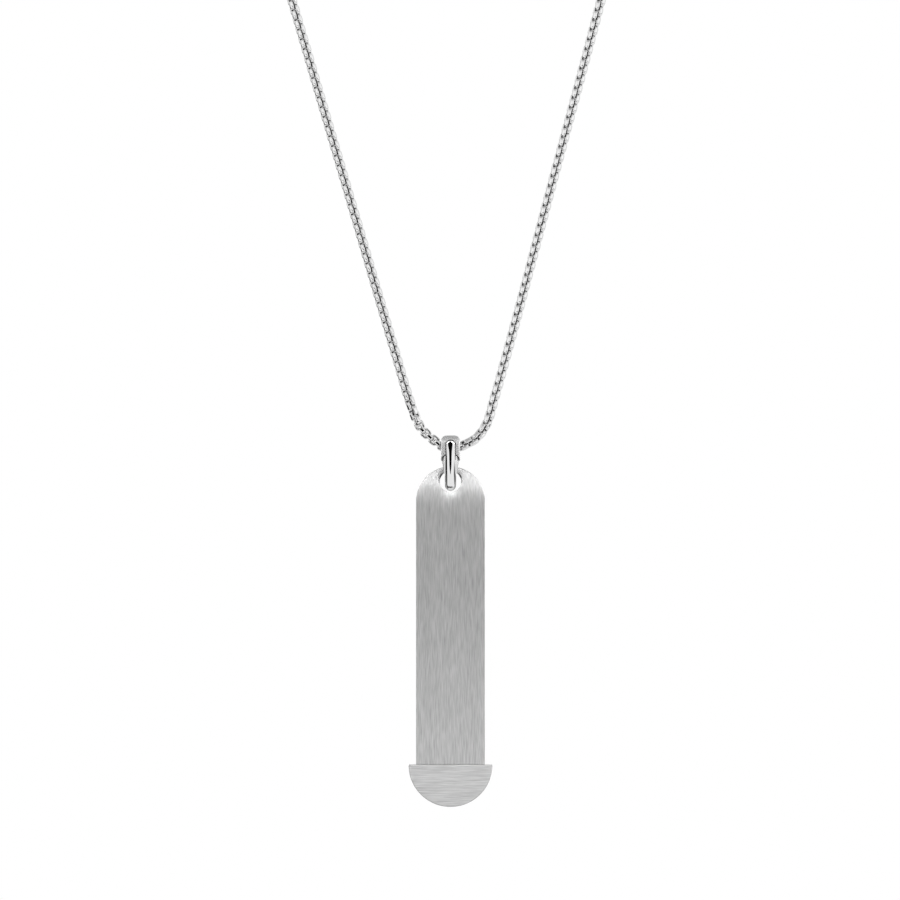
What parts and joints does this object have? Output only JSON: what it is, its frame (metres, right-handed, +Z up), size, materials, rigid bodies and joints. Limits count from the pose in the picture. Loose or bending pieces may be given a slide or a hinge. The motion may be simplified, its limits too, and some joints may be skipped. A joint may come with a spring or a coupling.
{
  "type": "charm necklace",
  "caption": "Long brushed metal bar pendant with a half-round end cap, hung by a hooded bail from a fine round box chain.",
  "frame": {"origin": "the inner side of the clasp, where the necklace rests on the nape", "axes": "+Z up, the pendant's face looks along -Y, +X to the right of someone who faces it"},
  "size_m": [0.1094, 0.1096, 0.2408],
  "materials": {
    "chain": "polished steel links",
    "clasp": "polished steel",
    "bail_hood": "satin steel",
    "bail_loop": "polished steel",
    "plate": "fine upright brushing",
    "end_cap": "fine crosswise brushing"
  },
  "bodies": {
    "necklace": {"chain": "chain", "clasp": "clasp"},
    "bail": {"bail_hood": "bail_hood", "bail_loop": "bail_loop"},
    "pendant": {"plate": "plate", "end_cap": "end_cap"}
  },
  "joints": [
    {"name": "bail_swing", "type": "hinge", "parent": "necklace", "child": "bail", "pos_m": [0, -0.104, -0.1855], "axis": [1, 0, 0], "range_deg": [-90, 90]},
    {"name": "plate_sway", "type": "hinge", "parent": "bail", "child": "pendant", "pos_m": [0, -0.104, -0.19045], "axis": [0, 1, 0], "range_deg": [-50, 50]}
  ]
}
